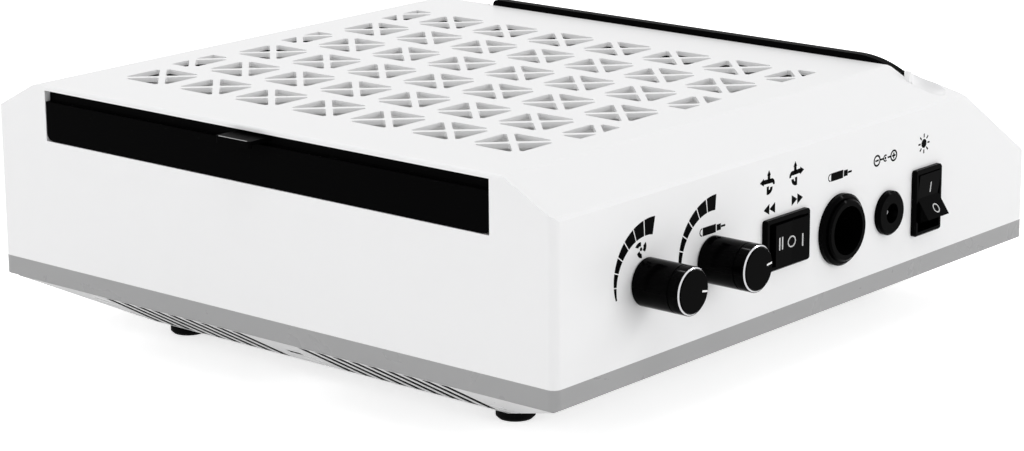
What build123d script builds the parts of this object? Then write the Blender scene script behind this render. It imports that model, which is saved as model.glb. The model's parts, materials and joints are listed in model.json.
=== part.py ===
from build123d import *
import math
import os

os.makedirs("parts", exist_ok=True)

# Desk unit for nail care: a dust collector under a grille, with the controller of a nail
# drill in its right flank and a fold-up lamp in a slot behind the grille. Millimetres.
# X runs across the front and the controls face +X. The filter drawer opens towards -Y.
# Z is up and the feet stand on Z = 0. Everything is drawn about the middle of the housing
# and moved, when it is written, to the middle of the whole box.

# White housing
body_width = 230.5
body_depth = 243.2
deck_z = 84.2
seam_z = 26.0
wall = 2.2
deck_skin = 1.5
corner_radius = 2.8
front_edge_radius = 0.8
bevel_run = 18.6
bevel_drop = 9.7
bevel_softening = 0.8
slope_run = 52.9
slope_drop = 35.8
slope_softening = 6.0

# Grille in the deck: squares split into four cells by two crossed ribs
grille_pitch_x = 24.31
grille_pitch_y = 24.76
grille_first_row = 32.5
cell_square = 18.6
cell_rib = 2.1
cell_corner = 0.6
cell_tip = 1.4

# Grey base tray
skirt_height = 6.0
tray_inset = 3.0
tray_step = 1.5
tray_floor_z = 4.7
tray_front_run = 23.7
tray_side_run = 37.0
tray_floor_skin = 2.0
rim_height = 2.4
rim_thickness = 1.6
part_gap = 0.3
louvre_pitch = 7.03
louvre_width = 4.0
louvre_count = 9
louvre_first = 14.1
louvre_end_margin = 0.8
catch_window = (6.0, 3.0)
catch_window_from_front = 15.5

# Feet and housing screws
foot_radius = 5.95
foot_inset_x = 45.9
foot_inset_y = 36.8
foot_stem_radius = 2.5
foot_stem_length = 2.8
screw_inset_x = 11.25
screw_inset_y = 20.6
post_radius = 4.2
screw_radius = 1.5
screw_head_radius = 2.8
screw_head_height = 2.0
screw_length = 22.0
screw_head_depth = 3.0
screw_fit = 0.04

# Filter drawer and its guide
slot_height = 16.2
drawer_side = 23.7
drawer_before_lamp = 9.6
drawer_gap = 0.3
drawer_under_gap = 0.2
drawer_wall = 3.0
drawer_setback = 2.0
drawer_rib = 2.0
drawer_rib_bays = 4
apron_below_top = 3.2
apron_bulge = 1.9
apron_corner = 2.5
tab_width = 14.0
tab_reach = 7.0
tab_to_the_left = 1.3
tab_thickness = 1.2
tab_corner = 0.8
tab_below_top = 0.7
tab_lip = 2.2
pleat_pitch = 6.0
pleat_height = 10.6
pleat_thickness = 1.6
guide_wall = 1.6
guide_ledge = 10.0
guide_floor = 1.5

# Fan and funnel
fan_behind_drawer_middle = 3.8
fan_size = 120.0
fan_depth = 25.0
fan_rim = 2.0
fan_flange = 4.0
fan_screw_inset = 7.5
fan_screw_radius = 2.0
fan_screw_length = 34.0
fan_screw_head_radius = 3.8
fan_screw_head_height = 2.2
fan_post_radius = 4.2
fan_post_height = 12.3
fan_hub_radius = 20.0
fan_tip_gap = 1.0
fan_blades = 7
blade_root_chord = 21.0
blade_tip_chord = 33.0
blade_root_pitch = 48.0
blade_tip_pitch = 28.0
blade_thickness = 1.8
hub_skin = 1.6
spoke_thickness = 2.5
rotor_below_top = 1.0
bush_floor = 0.8
shaft_floor = 1.2
motor_shaft_radius = 1.5
motor_bush_radius = 2.6
motor_tube_radius = 4.2
stator_radius = 15.0
stator_core = 3.0
stator_pole = 6.0
stator_shoe = 16.0
stator_shoe_thickness = 2.0
running_gap = 0.05
funnel_skin = 1.8

# Control panel on the right flank: distances from the front face, heights above the floor
fan_knob_from_front = 40.4
motor_knob_from_front = 71.0
knob_z = 48.65
direction_switch_from_front = 106.8
direction_switch_z = 46.95
motor_socket_from_front = 135.75
motor_socket_z = 44.35
power_jack_from_front = 161.7
power_jack_z = 44.33
lamp_switch_from_front = 182.7
lamp_switch_z = 44.3

# Knobs and potentiometers
knob_reach = 17.0
knob_radius = 7.1
knob_panel_gap = 0.3
knob_groove_z = 12.6
knob_groove = 0.35
ring_height = 0.75
ring_radius = 6.9
ring_inner_radius = 6.2
ring_slope = 0.65
pot_shaft_radius = 3.0
pot_flat = 1.8
knob_face = 4.0
bushing_radius = 3.5
bushing_reach = 2.8
pot_nut_flats = 8.6
pot_nut_height = 1.8
pot_can_radius = 8.3
pot_can_depth = 8.6
pot_lug = (1.2, 0.8, 5.0)
board_thickness = 1.6
board_margin = 6.0
board_height = 30.0
capacitor_radius = 4.0
capacitor_height = 12.0
capacitor_gap = 1.2

# Rocker switches: length and width of each bezel
direction_bezel = (22.4, 16.0)
lamp_bezel = (21.4, 15.0)
bezel_height = 1.8
bezel_corner = 1.0
bezel_ledge = 0.8
case_depth = 13.0
case_skin = 0.6
panel_gap = 0.2
paddle_gap = 0.25
paddle_end_gap = 1.3
paddle_undercut = 0.4
pivot_depth = 4.6
paddle_hub = 2.6
paddle_shoulder = 3.4
paddle_pin = 0.9
lamp_paddle_level = 6.2
lamp_paddle_vee = 20.0
lamp_paddle_tilt = 14.0
direction_paddle_level = 7.4
direction_paddle_vee = 1.0
tab_terminal = (4.8, 0.8, 7.0)
terminal_gap = 1.4

# Motor socket and power jack
socket_flange_radius = 11.2
socket_flange_height = 2.2
socket_collar_radius = 9.7
socket_collar_height = 3.4
socket_bore = 7.6
socket_recess = 10.0
socket_barrel_radius = 9.0
socket_barrel_depth = 13.0
socket_pin_holes = 5
socket_pin_circle = 3.6
socket_pin_hole = 0.8
socket_pin_depth = 5.0
socket_pin_step = 45.0
socket_key = (3.0, 4.0)
jack_flange_radius = 7.05
jack_flange_height = 2.0
jack_bore = 3.15
jack_barrel_radius = 5.6
jack_barrel_depth = 12.0
jack_pin_radius = 1.25
jack_pin_back = 8.6
jack_pin_tail = 3.0
nut_height = 2.4
nut_flats_ratio = 2.4

# Fold-up lamp in its slot, its places in X counted from the right flank
lamp_slot_before_slope = 1.1
lamp_slot_width = 4.0
lamp_thickness = 3.2
lamp_end_inset = 14.65
lamp_length = 171.4
lamp_height = 25.0
lamp_proud = 2.0
lamp_pivot_below_top = 10.0
lamp_pivot_inset = 22.55
lamp_end_radius = 36.0
lamp_end_run = 17.2
lamp_corner = 2.0
lamp_tail_radius = 7.9
lamp_play = 0.5
lamp_side_play = 2.0
lamp_pocket_skin = 1.6
lamp_pocket_corner = 6.0
lamp_pin_radius = 1.5
lamp_boss_radius = 4.0
lamp_boss_height = 2.0
lens_height = 13.0
lens_thickness = 1.0
lens_margin = 6.0
lens_bezel = 5.0
led_board_thickness = 0.6
led_count = 24
led_size = 2.4
led_height = 0.5
fin_inset = 11.15
fin_width = 1.9
fin_thickness = 1.2
fin_below_deck = 0.9

# Scoop in the bevel beside the lamp's end
scoop_inset = 7.95
scoop_behind_slot = 4.6
scoop_turn = 32.0
scoop_length = 14.0
scoop_width = 9.0
scoop_depth = 3.4

# Worked out from the sizes above
half_width = body_width / 2
half_depth = body_depth / 2
lamp_slot_from_front = body_depth - slope_run - lamp_slot_before_slope
drawer_width = body_width - 2 * drawer_side
drawer_length = lamp_slot_from_front - drawer_before_lamp - drawer_setback
grille_columns = int(drawer_width / grille_pitch_x)
grille_rows = int((drawer_length - grille_first_row) / grille_pitch_y) + 1
foot_spread_x = body_width - 2 * foot_inset_x
foot_spread_y = body_depth - 2 * foot_inset_y
screw_spread_x = body_width - 2 * screw_inset_x
screw_spread_y = body_depth - 2 * screw_inset_y
fan_from_front = drawer_setback + drawer_length / 2 + fan_behind_drawer_middle
fan_bore = fan_size / 2 - fan_rim
fan_screw_pitch = fan_size - 2 * fan_screw_inset
lamp_right = half_width - lamp_end_inset
lamp_left = lamp_right - lamp_length
lamp_pivot_x = half_width - lamp_pivot_inset
fin_x = half_width - fin_inset
skirt_z = seam_z - skirt_height
slot_top_z = deck_z - deck_skin
slot_floor_z = slot_top_z - slot_height
slot_width = drawer_width + 2 * drawer_gap
drawer_front_y = -half_depth + drawer_setback
drawer_z = slot_floor_z + drawer_under_gap
drawer_height = slot_height - drawer_under_gap - drawer_gap
fan_y = -half_depth + fan_from_front
fan_z = tray_floor_z + tray_floor_skin + fan_post_height
funnel_z = fan_z + fan_depth
guide_z = slot_floor_z - guide_floor
lamp_y = -half_depth + lamp_slot_from_front + (lamp_slot_width - lamp_thickness) / 2
lamp_top_z = deck_z + lamp_proud
lamp_pivot_z = lamp_top_z - lamp_pivot_below_top


def from_front(distance):
    """Y of a point that lies this far behind the front face."""
    return -half_depth + distance


def block(low, high):
    """Box between two opposite corners."""
    size = [high[i] - low[i] for i in range(3)]
    corner = (Align.MIN, Align.MIN, Align.MIN)
    return Pos(*low) * Box(*size, align=corner)


def post(radius, low_z, high_z, x=0.0, y=0.0):
    """Upright cylinder between two heights."""
    stand = (Align.CENTER, Align.CENTER, Align.MIN)
    return Pos(x, y, low_z) * Cylinder(radius, high_z - low_z, align=stand)


def nut(flats, height, bore, low_z=0.0):
    """Hexagon nut standing at low_z."""
    hexagon = RegularPolygon(flats / 2, 6, major_radius=False) - Circle(bore)
    return Pos(0, 0, low_z) * extrude(hexagon, amount=height)


def four_corners(spread_x, spread_y, middle_y=0.0):
    """Centres of the four corners of a rectangle."""
    return [
        (side_x * spread_x / 2, middle_y + side_y * spread_y / 2)
        for side_x in (1, -1)
        for side_y in (-1, 1)
    ]


def panel(distance, height, upright=False):
    """Frame on the right flank: its z points out, its x runs back, or up when upright."""
    along = (0, 0, 1) if upright else (0, 1, 0)
    return Plane(origin=(half_width, from_front(distance), height), x_dir=along, z_dir=(1, 0, 0))


def save(name, shape):
    """Writes one piece, moved so that the origin is under the middle of the whole box."""
    middle = Location((-knob_reach / 2, tab_reach / 2, 0))
    export_step(shape.moved(middle), f"parts/{name}.step")


# Housing


def housing_form(side, top, low_z):
    """Outer form of the housing, its walls moved in by side and its top down by top."""
    width = half_width - side
    depth = half_depth - side
    high = deck_z - top
    front_view = Polygon(
        (-width, low_z), (width, low_z), (width, high - bevel_drop), (width - bevel_run, high),
        (bevel_run - width, high), (-width, high - bevel_drop), align=None,
    )
    front_view = chamfer(front_view.vertices().sort_by(Axis.Y)[-4:], bevel_softening)
    side_view = Polygon(
        (-depth, low_z), (depth, low_z), (depth, high - slope_drop), (depth - slope_run, high),
        (-depth, high), align=None,
    )
    bend = side_view.vertices().sort_by_distance((depth, high - slope_drop))[0]
    side_view = fillet(bend, slope_softening)
    edge = side_view.vertices().sort_by_distance((-depth, high))[0]
    side_view = fillet(edge, front_edge_radius)
    plan = RectangleRounded(2 * width, 2 * depth, corner_radius)
    form = extrude(Plane.XZ * front_view, amount=half_depth, both=True)
    form &= extrude(Plane.YZ * side_view, amount=half_width, both=True)
    return form & Pos(0, 0, low_z) * extrude(plan, amount=high - low_z)


def grille_cells():
    """Flat pattern of all the grille's openings."""
    half = cell_square / 2
    root = cell_rib / math.sqrt(2)
    cell = Polygon((0, -root), (root - half, -half), (half - root, -half), align=None)
    cell = chamfer(cell.vertices().sort_by(Axis.Y)[:2], cell_tip)
    cell = chamfer(cell.vertices().sort_by(Axis.Y)[-1], cell_corner)
    square = [Rot(0, 0, 90 * turn) * cell for turn in range(4)]
    places = []
    for row in range(grille_rows):
        shifted = row % 2
        for column in range(grille_columns + shifted):
            across = column - (grille_columns - 1 + shifted) / 2
            row_y = from_front(grille_first_row) + row * grille_pitch_y
            places.append((across * grille_pitch_x, row_y))
    cells = Sketch() + [Pos(x, y) * one for x, y in places for one in square]
    field = Pos(0, 0) * Rectangle(grille_columns * grille_pitch_x, 2 * body_depth)
    return cells & field


def panel_holes():
    """Everything that is cut through the right flank for the controls."""
    through = 2 * wall
    holes = Part()
    for distance in (fan_knob_from_front, motor_knob_from_front):
        holes += panel(distance, knob_z) * post(bushing_radius + part_gap / 2, -through, through)
    holes += panel(motor_socket_from_front, motor_socket_z) * post(
        socket_barrel_radius + part_gap, -through, through)
    holes += panel(power_jack_from_front, power_jack_z) * post(
        jack_barrel_radius + part_gap, -through, through)
    grow = 2 * (panel_gap - bezel_ledge)
    for place, bezel in (
        (panel(direction_switch_from_front, direction_switch_z), direction_bezel),
        (panel(lamp_switch_from_front, lamp_switch_z, upright=True), lamp_bezel),
    ):
        holes += place * Box(bezel[0] + grow, bezel[1] + grow, 2 * through)
    return holes


def lamp_slot_outline(grow):
    """Side of the lamp's pocket in X and Z, open at the top."""
    left = lamp_left - lamp_side_play - grow
    right = lamp_pivot_x + lamp_pivot_below_top + lamp_play + grow
    low = lamp_top_z - lamp_height - lamp_play - grow
    outline = Polygon((left, low), (right, low), (right, 2 * deck_z), (left, 2 * deck_z), align=None)
    corner = outline.vertices().sort_by_distance((right, low))[0]
    return fillet(corner, lamp_pocket_corner + grow)


def across_slot(outline, low_y, high_y):
    """Extrudes an outline in X and Z between two values of Y."""
    return Pos(0, low_y, 0) * extrude(Plane.XZ * outline, amount=low_y - high_y)


def lamp_bosses(low_y, high_y, radius):
    """Round stock on the lamp's pivot line."""
    line = Plane(origin=(lamp_pivot_x, low_y, lamp_pivot_z), x_dir=(1, 0, 0), z_dir=(0, 1, 0))
    return line * post(radius, 0, high_y - low_y)


def bevel_z(x):
    """Height of the right-hand bevel at this X."""
    return deck_z - (x - half_width + bevel_run) * bevel_drop / bevel_run


def scoop(grow):
    """Long shallow hollow in the bevel, as the underside of a ring that dips into it."""
    x = half_width - scoop_inset
    y = from_front(lamp_slot_from_front) + scoop_behind_slot
    turn = math.radians(scoop_turn)
    fall = -math.cos(turn) * bevel_drop / bevel_run
    bevel = Plane(origin=(x, y, bevel_z(x)), x_dir=(math.cos(turn), math.sin(turn), fall),
                  z_dir=(bevel_drop, 0, bevel_run))
    reach = arc_radius(scoop_length, scoop_depth)
    tube = arc_radius(scoop_width, scoop_depth)
    return bevel * Pos(0, 0, reach - scoop_depth) * Rot(90, 0, 0) * Torus(reach - tube, tube + grow)


def arc_radius(chord, height):
    """Radius of the arc that rises by this height over this chord."""
    return (chord * chord / 4 + height * height) / (2 * height)


def make_top_housing():
    """White housing with the grille, drawer slot, control holes, lamp pocket and screw posts."""
    shell = housing_form(0, 0, seam_z)
    inner = housing_form(wall, deck_skin, seam_z - wall)
    slot_y = from_front(lamp_slot_from_front)
    pocket_low = slot_y - lamp_pocket_skin
    pocket_high = slot_y + lamp_slot_width + lamp_pocket_skin
    pocket = across_slot(lamp_slot_outline(lamp_pocket_skin), pocket_low, pocket_high)
    pocket += lamp_bosses(pocket_low - lamp_boss_height, pocket_high + lamp_boss_height,
                          lamp_boss_radius)
    posts = Part() + [
        post(post_radius, seam_z, deck_z, x, y) for x, y in four_corners(screw_spread_x, screw_spread_y)
    ]
    housing = (shell - inner) + (shell & (pocket + posts + scoop(lamp_pocket_skin)))
    housing -= scoop(0)
    housing += block((fin_x - fin_width / 2, slot_y - fin_thickness, bevel_z(fin_x) - scoop_depth),
                     (fin_x + fin_width / 2, slot_y, deck_z - fin_below_deck))
    housing -= across_slot(lamp_slot_outline(0), slot_y, slot_y + lamp_slot_width)
    housing -= lamp_bosses(pocket_low - lamp_boss_height, pocket_high + lamp_boss_height,
                           lamp_pin_radius + screw_fit / 2)
    housing -= Pos(0, 0, deck_z - wall) * extrude(grille_cells(), amount=2 * wall)
    housing -= block((-slot_width / 2, -half_depth - wall, slot_floor_z),
                     (slot_width / 2, -half_depth + 2 * wall, slot_top_z))
    for x, y in four_corners(screw_spread_x, screw_spread_y):
        housing -= post(screw_radius + screw_fit / 2, seam_z - wall, seam_z + screw_length, x, y)
    return housing - panel_holes()


def tray_form(side, low_z, high_z):
    """Hopper of the base tray with its walls moved in by side and its floor at low_z."""
    width = half_width - tray_inset - side
    depth = half_depth - tray_inset - side
    shoulder = skirt_z - tray_step + low_z - tray_floor_z
    front_view = Polygon(
        (-width, high_z), (-width, shoulder), (tray_side_run - width, low_z),
        (width - tray_side_run, low_z), (width, shoulder), (width, high_z), align=None,
    )
    side_view = Polygon(
        (-depth, high_z), (-depth, shoulder), (tray_front_run - depth, low_z),
        (depth - tray_front_run, low_z), (depth, shoulder), (depth, high_z), align=None,
    )
    form = extrude(Plane.XZ * front_view, amount=half_depth, both=True)
    return form & extrude(Plane.YZ * side_view, amount=half_width, both=True)


def ring_plan(outer, inner):
    """Flat frame between two insets from the housing's outline."""
    outside = RectangleRounded(body_width - 2 * outer, body_depth - 2 * outer, corner_radius)
    return outside - Rectangle(body_width - 2 * inner, body_depth - 2 * inner)


def louvres():
    """Slots along the front and rear slopes of the tray."""
    start = tray_inset + louvre_end_margin
    end = tray_inset + tray_front_run - louvre_end_margin
    slot = Rectangle(louvre_width, end - start)
    cuts = Sketch()
    for step in range(louvre_count):
        for side in (1, -1):
            x = side * (louvre_first + step * louvre_pitch)
            cuts += Pos(x, from_front((start + end) / 2)) * slot
            cuts += Pos(x, -from_front((start + end) / 2)) * slot
    cuts += Pos(0, from_front(catch_window_from_front)) * Rectangle(*catch_window)
    return extrude(cuts, amount=skirt_z)


def make_base_tray():
    """Grey tray: skirt, hopper with louvres, fan posts, screw tubes and foot holes."""
    inner_inset = tray_inset + wall
    outer = tray_form(0, tray_floor_z, seam_z)
    inside = tray_form(wall, tray_floor_z + tray_floor_skin, seam_z + wall)
    rim_inset = wall + part_gap
    tray = outer - inside
    tray += Pos(0, 0, skirt_z) * extrude(ring_plan(0, inner_inset), amount=skirt_height)
    tray += Pos(0, 0, seam_z) * extrude(ring_plan(rim_inset, rim_inset + rim_thickness),
                                        amount=rim_height)
    tray -= louvres()
    for x, y in four_corners(screw_spread_x, screw_spread_y):
        tray += outer & post(post_radius, tray_floor_z, seam_z, x, y)
    head_z = screw_seat_z()
    for x, y in four_corners(screw_spread_x, screw_spread_y):
        tray -= post(screw_radius + part_gap, tray_floor_z, seam_z + rim_height, x, y)
        tray -= post(screw_head_radius + part_gap, 0, head_z, x, y)
        tray -= post(post_radius + part_gap, seam_z, seam_z + rim_height, x, y)
    floor_top = tray_floor_z + tray_floor_skin
    for x, y in four_corners(fan_screw_pitch, fan_screw_pitch, fan_y):
        tray += post(fan_post_radius, floor_top - tray_floor_skin / 2, fan_z, x, y)
        tray -= post(fan_screw_radius + screw_fit / 2, floor_top, fan_z, x, y)
    for x, y in four_corners(foot_spread_x, foot_spread_y):
        tray -= post(foot_stem_radius + screw_fit / 2, 0, floor_top, x, y)
    return tray


def screw_seat_z():
    """Height of the shoulder that a housing screw's head pulls against."""
    from_edge = half_width - tray_inset - screw_spread_x / 2
    slope = (skirt_z - tray_step - tray_floor_z) / tray_side_run
    return skirt_z - tray_step - from_edge * slope + screw_head_depth


def make_foot(x, y):
    """Rubber foot with a stem pushed through the tray's floor."""
    foot = post(foot_radius, 0, tray_floor_z)
    foot = chamfer(foot.edges().group_by(Axis.Z)[0], tray_floor_z / 6)
    return Pos(x, y, 0) * (foot + post(foot_stem_radius, 0, tray_floor_z + foot_stem_length))


def make_housing_screws():
    """Four screws that hold the tray to the housing."""
    seat = screw_seat_z()
    screws = []
    for x, y in four_corners(screw_spread_x, screw_spread_y):
        screw = post(screw_radius, seat, seat + screw_length, x, y)
        screws.append(screw + post(screw_head_radius, seat - screw_head_height, seat, x, y))
    return Part() + screws


# Filter drawer


def drawer_window():
    """Width and length of the drawer's opening."""
    return drawer_width - 2 * drawer_wall, drawer_length - 2 * drawer_wall


def make_filter_frame():
    """Black drawer frame with a ribbed floor and a finger tab."""
    middle_y = drawer_front_y + drawer_length / 2
    wide, long = drawer_window()
    outline = Rectangle(drawer_width, drawer_length) - Rectangle(wide, long)
    frame = extrude(outline, amount=drawer_height)
    for bay in range(1, drawer_rib_bays):
        x = (bay / drawer_rib_bays - 0.5) * wide
        y = (bay / drawer_rib_bays - 0.5) * long
        frame += block((x - drawer_rib / 2, -long / 2, 0), (x + drawer_rib / 2, long / 2, drawer_rib))
        frame += block((-wide / 2, y - drawer_rib / 2, 0), (wide / 2, y + drawer_rib / 2, drawer_rib))
    frame = Pos(0, middle_y, drawer_z) * frame
    apron = block((-drawer_width / 2, drawer_front_y - apron_bulge, drawer_z),
                  (drawer_width / 2, drawer_front_y, drawer_z + drawer_height - apron_below_top))
    apron = fillet(apron.edges().filter_by(Axis.Y).group_by(Axis.Z)[0], apron_corner)
    tab_top = drawer_z + drawer_height - tab_below_top
    tab_reach_y = drawer_front_y - tab_reach - drawer_setback
    tab = block((-tab_width / 2, tab_reach_y, tab_top - tab_thickness),
                (tab_width / 2, drawer_front_y, tab_top))
    tab += block((-tab_width / 2, tab_reach_y, tab_top - tab_lip),
                 (tab_width / 2, tab_reach_y + tab_thickness, tab_top))
    tab = fillet(tab.edges().filter_by(Axis.Z).group_by(Axis.Y)[0], tab_corner)
    return frame + apron + Pos(-tab_to_the_left, 0, 0) * tab


def make_filter_pleats():
    """Pleated paper: one zigzag that fills the drawer."""
    wide, long = drawer_window()
    folds = 2 * round(wide / pleat_pitch)
    floor_z = drawer_z + drawer_rib
    swing = pleat_height - pleat_thickness
    low = [(-wide / 2 + i * wide / folds, floor_z + swing * (i % 2)) for i in range(folds + 1)]
    high = [(x, z + pleat_thickness) for x, z in reversed(low)]
    middle_y = drawer_front_y + drawer_length / 2
    sheet = extrude(Plane.XZ * Polygon(*low, *high, align=None), amount=long / 2, both=True)
    return Pos(0, middle_y, 0) * sheet


def make_filter_guide():
    """Frame inside the housing that the drawer slides in."""
    front_y = -half_depth + wall + front_edge_radius
    back_y = drawer_front_y + drawer_length + 2 * drawer_gap
    side = drawer_width / 2 + 2 * drawer_gap
    outer = block((-side - guide_wall, front_y, guide_z), (side + guide_wall, back_y + guide_wall, slot_top_z))
    channel = block((-side, front_y - wall, slot_floor_z), (side, back_y, slot_top_z + wall))
    throat = block((guide_ledge - side, front_y + guide_ledge, guide_z - wall),
                   (side - guide_ledge, back_y - guide_ledge, slot_top_z))
    return outer - channel - throat


# Fan and funnel


def make_funnel():
    """Duct from under the drawer down to the fan."""
    front_y = -half_depth + wall
    back_y = drawer_front_y + drawer_length + 2 * drawer_gap
    side = drawer_width / 2 + 2 * drawer_gap - guide_ledge
    middle_y = (front_y + back_y) / 2
    mouth = (2 * side, back_y - front_y - 2 * guide_ledge)
    throat = 2 * fan_bore

    def hopper(grow):
        low = Pos(0, fan_y, funnel_z) * Rectangle(throat + 2 * grow, throat + 2 * grow)
        high = Pos(0, middle_y, guide_z - funnel_skin) * Rectangle(
            mouth[0] + 2 * grow, mouth[1] + 2 * grow)
        return loft([low, high])

    top = Pos(0, middle_y, guide_z - funnel_skin) * extrude(
        Rectangle(mouth[0] + guide_ledge, mouth[1] + guide_ledge) - Rectangle(*mouth),
        amount=funnel_skin)
    foot = Pos(0, fan_y, funnel_z) * extrude(
        RectangleRounded(fan_size, fan_size, corner_radius) - Circle(fan_bore), amount=funnel_skin)
    duct = hopper(funnel_skin) - hopper(0)
    funnel = duct + top + foot
    for x, y in four_corners(fan_screw_pitch, fan_screw_pitch, fan_y):
        funnel -= post(fan_screw_radius + part_gap, funnel_z, funnel_z + funnel_skin, x, y)
    return funnel


def make_fan_frame():
    """Square axial fan frame with two flanges, a round shroud and struts to the motor."""
    square = RectangleRounded(fan_size, fan_size, 2 * corner_radius)
    shroud = Circle(fan_bore + funnel_skin)
    frame = extrude(square, amount=fan_flange) + extrude(shroud, amount=fan_depth)
    frame += Pos(0, 0, fan_depth - fan_flange) * extrude(square, amount=fan_flange)
    frame -= extrude(Circle(fan_bore), amount=fan_depth)
    spoke = block((0, -fan_flange / 2, 0), (fan_bore + part_gap, fan_flange / 2, spoke_thickness))
    frame += [Rot(0, 0, 45 + 90 * turn) * spoke for turn in range(4)]
    frame += post(fan_hub_radius, 0, spoke_thickness)
    frame += post(motor_tube_radius, 0, fan_depth - 2 * fan_flange)
    frame -= post(motor_bush_radius + screw_fit / 2, bush_floor, fan_depth)
    for x, y in four_corners(fan_screw_pitch, fan_screw_pitch):
        frame -= post(fan_screw_radius + part_gap, 0, fan_depth, x, y)
    return Pos(0, fan_y, fan_z) * frame


def fan_blade():
    """Twisted blade from the hub out to the tip."""
    root = Plane(origin=(fan_hub_radius - 2 * hub_skin, 0, 0), x_dir=(0, 1, 0), z_dir=(1, 0, 0))
    tip = Plane(origin=(fan_bore, 0, 0), x_dir=(0, 1, 0), z_dir=(1, 0, 0))
    inner = root * Rot(0, 0, blade_root_pitch) * Rectangle(blade_root_chord, blade_thickness)
    outer = tip * Rot(0, 0, blade_tip_pitch) * Rectangle(blade_tip_chord, blade_thickness)
    return loft([inner, outer])


def make_fan_rotor():
    """Hub cup with twisted blades."""
    low_z = fan_flange
    high_z = fan_depth - rotor_below_top
    middle = (low_z + high_z) / 2
    sweep = post(fan_bore - fan_tip_gap, low_z, high_z)
    blades = Part() + [
        Rot(0, 0, turn * 360 / fan_blades) * Pos(0, 0, middle) * fan_blade()
        for turn in range(fan_blades)
    ]
    rotor = (blades & sweep) + post(fan_hub_radius, low_z, high_z)
    rotor -= post(fan_hub_radius - hub_skin, low_z, high_z - hub_skin)
    rotor += post(2 * motor_shaft_radius, fan_depth - 2 * fan_flange + rotor_below_top, high_z)
    rotor -= post(motor_shaft_radius + screw_fit / 2, 0, high_z - hub_skin / 2)
    return Pos(0, fan_y, fan_z) * rotor


def make_fan_shaft():
    """Steel shaft pressed into the rotor's hub."""
    shaft = post(motor_shaft_radius, shaft_floor, fan_depth - rotor_below_top - hub_skin / 2)
    return Pos(0, fan_y, fan_z) * shaft


def make_fan_bush():
    """Sintered bush in the frame's tube."""
    bush = post(motor_bush_radius, bush_floor, fan_depth - 2 * fan_flange)
    return Pos(0, fan_y, fan_z) * (bush - post(motor_shaft_radius + running_gap, 0, fan_depth))


def make_fan_stator():
    """Stator of the fan motor: a ring with four poles round the bearing tube."""
    low_z = spoke_thickness
    high_z = fan_depth - 2 * fan_flange - rotor_below_top
    pole_low, pole_high = low_z + stator_shoe_thickness, high_z - rotor_below_top
    inner = stator_radius - stator_shoe_thickness
    ring = post(motor_tube_radius + stator_core, low_z, high_z)
    pole = block((0, -stator_pole / 2, pole_low), (inner, stator_pole / 2, pole_high))
    shoe = post(stator_radius, pole_low, pole_high) - post(inner, 0, fan_depth)
    shoe &= block((0, -stator_shoe / 2, 0), (stator_radius, stator_shoe / 2, fan_depth))
    for turn in range(4):
        ring += Rot(0, 0, 90 * turn) * (pole + shoe)
    return Pos(0, fan_y, fan_z) * (ring - post(motor_tube_radius + screw_fit / 2, 0, fan_depth))


def make_fan_screws():
    """Four long screws through the funnel's foot and the fan into the tray's posts."""
    seat = funnel_z + funnel_skin
    screws = []
    for x, y in four_corners(fan_screw_pitch, fan_screw_pitch, fan_y):
        screw = post(fan_screw_radius, seat - fan_screw_length, seat, x, y)
        screws.append(screw + post(fan_screw_head_radius, seat, seat + fan_screw_head_height, x, y))
    return Part() + screws


# Knobs and potentiometers, drawn on the panel frame with z pointing out


def make_knob():
    """Smooth knob body with a groove below its rim and a seat for the bright ring."""
    seat_z = knob_reach - ring_height
    body = post(knob_radius, knob_panel_gap, seat_z) + post(ring_inner_radius, seat_z, knob_reach)
    groove = post(knob_radius + knob_groove, knob_groove_z, knob_groove_z + knob_groove)
    body -= groove - post(knob_radius - knob_groove, 0, knob_reach)
    body -= post(bushing_radius + 2 * part_gap + nut_corner(), 0, bushing_reach + part_gap)
    bore = post(pot_shaft_radius + screw_fit / 2, 0, knob_reach - knob_face)
    return body - (bore - shaft_flat(screw_fit / 2))


def nut_corner():
    """How far the potentiometer nut's corners stand out past its bushing."""
    return pot_nut_flats / math.sqrt(3) - bushing_radius


def make_knob_ring():
    """Bright ring round the knob's face."""
    seat_z = knob_reach - ring_height
    ring = post(ring_radius, seat_z, knob_reach) - post(ring_inner_radius + screw_fit / 2, 0, knob_reach)
    rim = ring.edges().filter_by(GeomType.CIRCLE).group_by(Axis.Z)[-1].sort_by(SortBy.RADIUS)[-1]
    return chamfer(rim, ring_slope)


def make_pot_shaft():
    """Flatted shaft that carries the knob."""
    shaft = post(pot_shaft_radius, -wall - pot_can_depth / 2, knob_reach - knob_face - part_gap)
    return shaft - shaft_flat(0)


def shaft_flat(gap):
    """What the shaft's flat leaves free, moved out by a gap for the knob's bore."""
    return block((-knob_radius, pot_flat + gap, bushing_reach + part_gap),
                 (knob_radius, knob_radius, knob_reach))


def make_pot():
    """Potentiometer can, bushing and three lugs."""
    front = -wall
    pot = post(pot_can_radius, front - pot_can_depth, front)
    pot += post(bushing_radius, front, bushing_reach)
    for step in (-1, 0, 1):
        lug_x = step * 2 * pot_lug[0] * 2
        pot += block((lug_x - pot_lug[0] / 2, -pot_can_radius - pot_lug[2], front - pot_can_depth / 2),
                     (lug_x + pot_lug[0] / 2, 0, front - pot_can_depth / 2 + pot_lug[1]))
    return pot - post(pot_shaft_radius + running_gap, front - pot_can_depth / 2 - 0.2, bushing_reach)


def make_board():
    """Control board behind the two potentiometers."""
    back = half_width - wall - pot_can_depth
    low_y = from_front(fan_knob_from_front) - pot_can_radius - board_margin
    high_y = from_front(motor_knob_from_front) + pot_can_radius + board_margin
    low_z = knob_z - board_height / 2
    return block((back - board_thickness, low_y, low_z), (back, high_y, low_z + board_height))


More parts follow.
